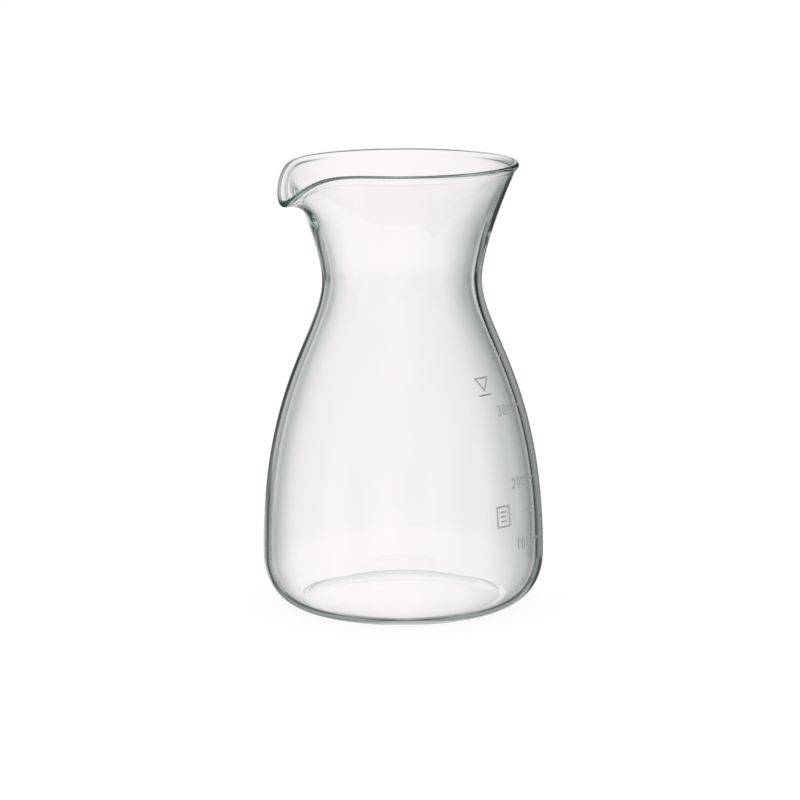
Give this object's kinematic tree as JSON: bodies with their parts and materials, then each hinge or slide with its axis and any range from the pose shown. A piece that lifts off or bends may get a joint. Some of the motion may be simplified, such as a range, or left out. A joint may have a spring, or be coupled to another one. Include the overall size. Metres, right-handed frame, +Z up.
{
  "type": "heatproof decanter",
  "caption": "Blown heatproof glass decanter with a round belly, a narrow waist, a flared mouth, a pulled pouring spout and a printed volume scale.",
  "frame": {"origin": "on the table, under the vessel's axis, at the middle of the foot ring", "axes": "+Z up along the vessel's axis, -X towards the spout"},
  "size_m": [0.088, 0.088, 0.1394],
  "materials": {
    "glass": "clear, fire polished",
    "enamel": "fired enamel print, satin"
  },
  "bodies": {
    "root": {"glass_vessel": "glass", "scale_tick_100": "enamel", "scale_tick_150": "enamel", "scale_tick_200": "enamel", "scale_tick_250": "enamel", "scale_tick_300": "enamel", "scale_tick_350": "enamel", "scale_100_digit_1": "enamel", "scale_100_digit_2": "enamel", "scale_100_digit_3": "enamel", "scale_200_digit_1": "enamel", "scale_200_digit_2": "enamel", "scale_200_digit_3": "enamel", "scale_300_digit_1": "enamel", "scale_300_digit_2": "enamel", "scale_300_digit_3": "enamel", "level_mark_triangle": "enamel", "level_mark_line": "enamel", "heat_mark_frame": "enamel", "heat_mark_bar_1": "enamel", "heat_mark_bar_2": "enamel", "heat_mark_bar_3": "enamel"}
  },
  "joints": []
}
